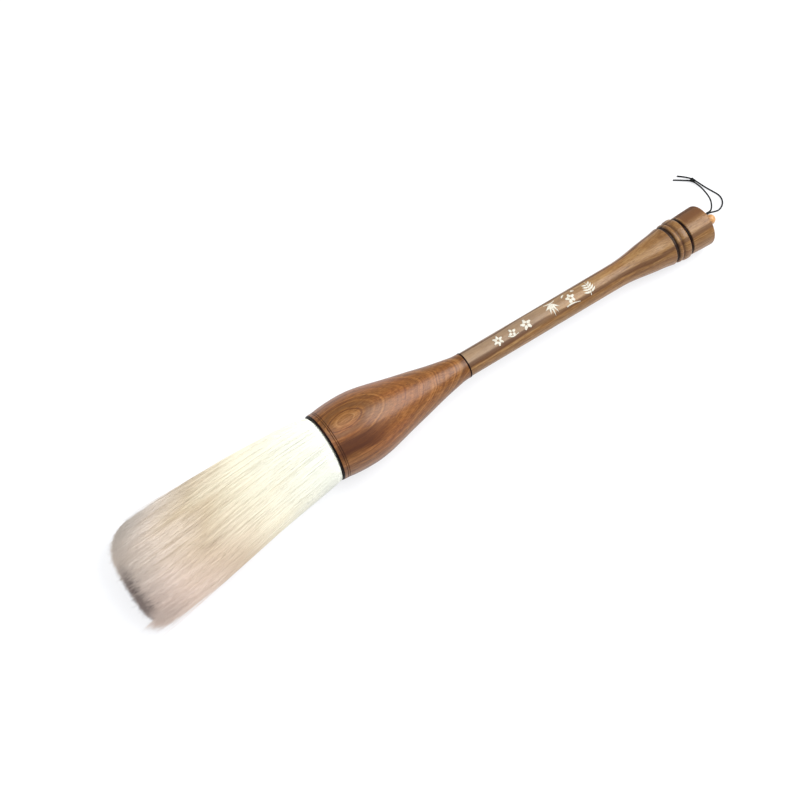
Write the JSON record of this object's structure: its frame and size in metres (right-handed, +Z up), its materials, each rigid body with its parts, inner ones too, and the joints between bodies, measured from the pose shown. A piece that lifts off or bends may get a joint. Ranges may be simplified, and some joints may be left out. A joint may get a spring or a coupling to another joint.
{
  "type": "large calligraphy brush",
  "caption": "Large hopper calligraphy brush: free white hair set in a turned rosewood bulb, slim flared shaft, end cap with knob and a knotted hanging cord.",
  "frame": {"origin": "on the table, under the middle of the brush's length without its hanging cord, as the brush lies", "axes": "+X toward the hanging knob, +Y across the brush toward its cord, +Z up; the brush lies with bulb and end cap on the table, so its own axis falls 2 degrees toward the knob"},
  "size_m": [0.4449, 0.0743, 0.0449],
  "materials": {
    "rosewood": "satin lacquer",
    "mark_paint": "matt paint",
    "black_horn": "polished",
    "boxwood": "satin",
    "hair": "soft goat hair",
    "binding_thread": "waxed thread",
    "resin": "set resin",
    "black_cord": "waxed cotton"
  },
  "bodies": {
    "handle": {"hopper": "rosewood", "lip_ring": "black_horn", "joint_ring": "black_horn", "handle_shaft": "rosewood", "filled_marks": "mark_paint", "cap_ring": "black_horn", "end_cap": "rosewood", "hanging_knob": "boxwood", "hair_root": "hair", "root_binding": "binding_thread", "root_plug": "resin"},
    "tuft": {"tuft_cover": "hair", "tuft_core": "hair"},
    "loop": {"cord_neck_turn": "black_cord", "hang_cord_left": "black_cord", "hang_cord_right": "black_cord", "cord_knot": "black_cord"}
  },
  "joints": [
    {"name": "tuft_sway", "type": "hinge", "parent": "handle", "child": "tuft", "pos_m": [-0.09225, 0, 0.02374], "axis": [0, 0, 1], "range_deg": [-25, 25], "stiffness_Nm_per_rad": 0.6},
    {"name": "loop_swivel", "type": "hinge", "parent": "handle", "child": "loop", "pos_m": [0.20536, 0, 0.01323], "axis": [0.9994, 0, -0.0353], "continuous": true}
  ]
}
